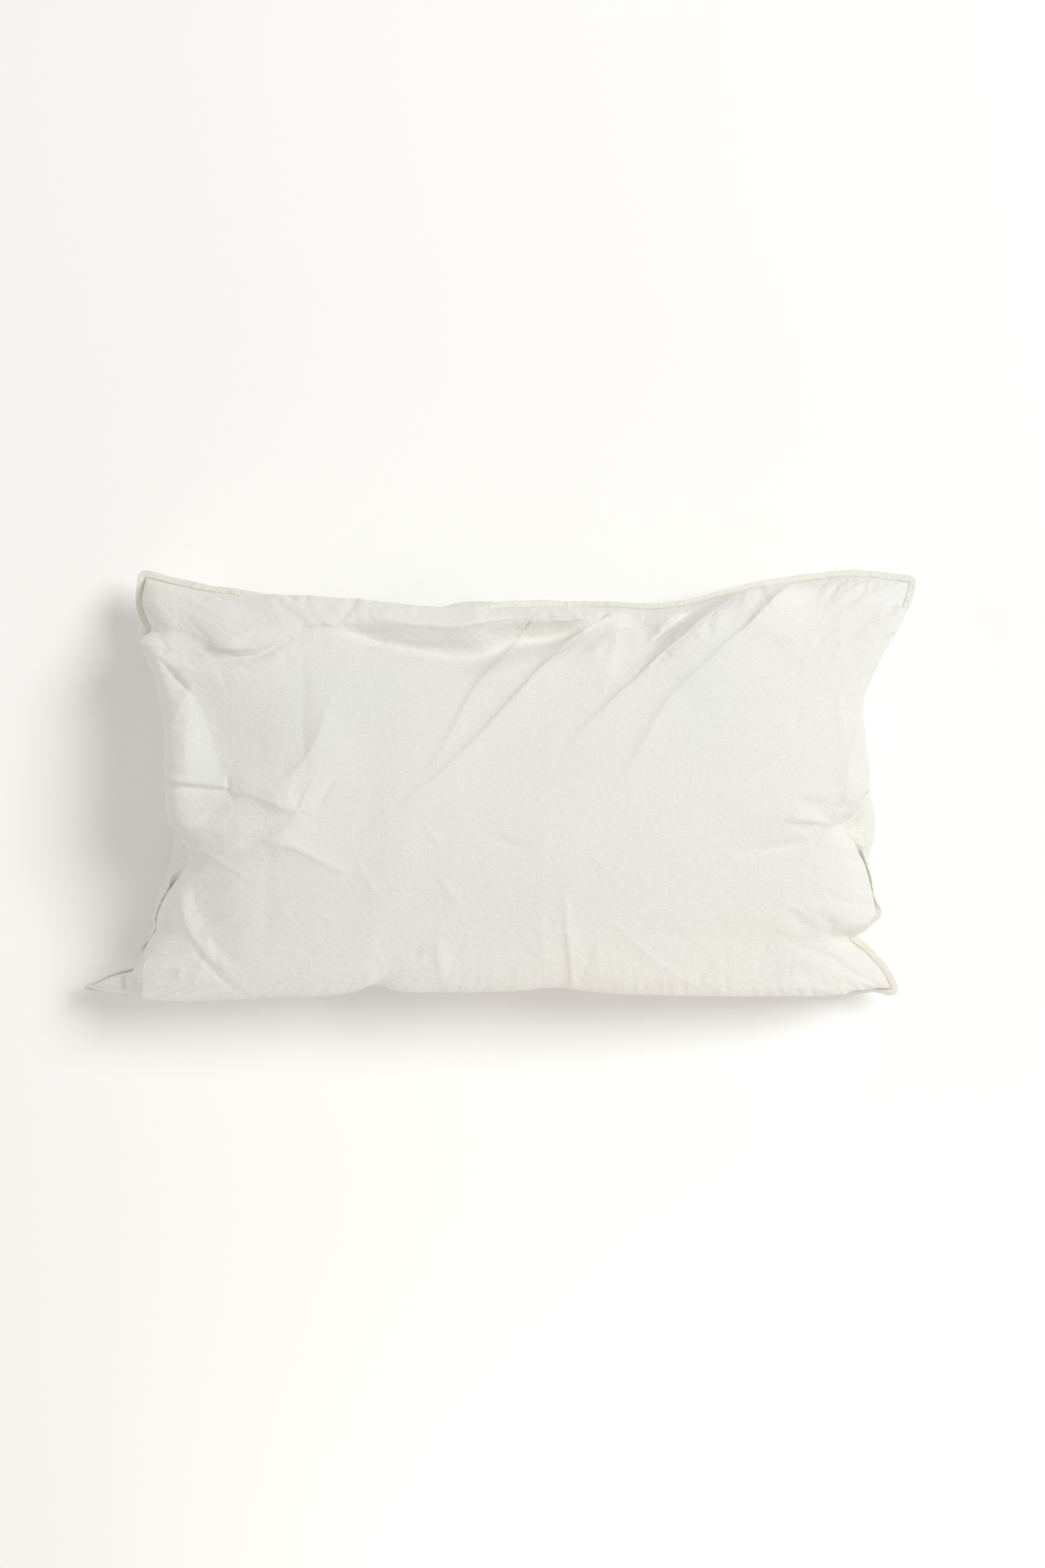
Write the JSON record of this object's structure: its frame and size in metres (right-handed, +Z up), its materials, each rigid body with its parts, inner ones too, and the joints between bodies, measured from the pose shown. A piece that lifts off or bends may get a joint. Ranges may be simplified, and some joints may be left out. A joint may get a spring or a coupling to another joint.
{
  "type": "filled cushion cover",
  "caption": "Long cushion in a washed cotton cover with a crowned front, drawn-in sides, thin corners and a narrow turned-out seam edge.",
  "frame": {"origin": "centre of the bounding box's bottom, on the surface that the back rests on", "axes": "+X along the length, +Y across the width, towards the side with the strip fold, +Z up out of the crowned front"},
  "size_m": [0.9035, 0.4675, 0.2038],
  "materials": {
    "cotton_cloth": "matte, washed and slightly creased plain weave",
    "cotton_seam": "matte, four layers of the same cloth, rippled along the stitching"
  },
  "bodies": {
    "root": {"filled_cover": "cotton_cloth", "seam_edge": "cotton_seam"}
  },
  "joints": []
}
